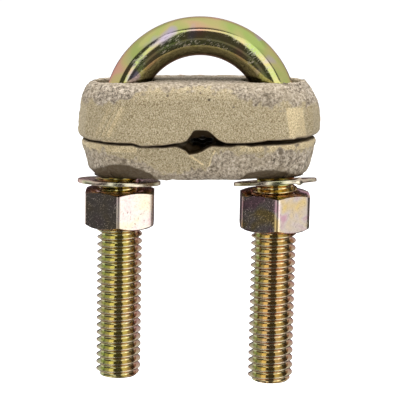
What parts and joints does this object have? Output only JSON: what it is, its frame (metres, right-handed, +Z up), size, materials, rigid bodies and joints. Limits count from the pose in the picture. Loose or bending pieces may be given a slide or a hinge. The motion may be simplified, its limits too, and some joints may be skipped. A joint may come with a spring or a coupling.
{
  "type": "ground rod clamp",
  "caption": "U-bolt clamp with a cast bronze saddle and keeper that grip a ground rod under the arch and a conductor in the groove between the castings.",
  "frame": {"origin": "centre of the U-bolt's bend, where the axis of the largest ground rod lies", "axes": "+Z up along the legs towards the arch, +Y along the ground rod and the conductor, +X across the two legs"},
  "size_m": [0.0508, 0.023, 0.0772],
  "materials": {
    "zinc_plated_bar": "yellow passivated zinc plate, glossy",
    "cast_bronze": "sand cast, partly ground",
    "zinc_plated_washer": "yellow passivated zinc plate",
    "zinc_plated_nut": "yellow passivated zinc plate, glossy"
  },
  "bodies": {
    "u_bolt": {"u_bolt": "zinc_plated_bar"},
    "saddle": {"saddle": "cast_bronze"},
    "keeper": {"keeper": "cast_bronze", "washer_left": "zinc_plated_washer", "washer_right": "zinc_plated_washer"},
    "nut_left": {"nut_left": "zinc_plated_nut"},
    "nut_right": {"nut_right": "zinc_plated_nut"}
  },
  "joints": [
    {"name": "keeper_slide", "type": "slide", "parent": "u_bolt", "child": "keeper", "axis": [0, 0, -1], "range_m": [0, 0.03016]},
    {"name": "saddle_slide", "type": "slide", "parent": "u_bolt", "child": "saddle", "axis": [0, 0, -1], "range_m": [0, 0.0151]},
    {"name": "nut_left_turn", "type": "hinge", "parent": "keeper", "child": "nut_left", "pos_m": [-0.0162, 0, -0.0198], "axis": [0, 0, -1], "range_deg": [0, 6841]},
    {"name": "nut_right_turn", "type": "hinge", "parent": "keeper", "child": "nut_right", "pos_m": [0.0162, 0, -0.0198], "axis": [0, 0, -1], "range_deg": [0, 6841]}
  ],
  "couplings": [
    {"joint": "nut_left_turn", "follows": "keeper_slide", "rad_per_m": 3957.9},
    {"joint": "nut_right_turn", "follows": "keeper_slide", "rad_per_m": 3957.9},
    {"joint": "saddle_slide", "follows": "keeper_slide", "ratio": 0.5}
  ]
}
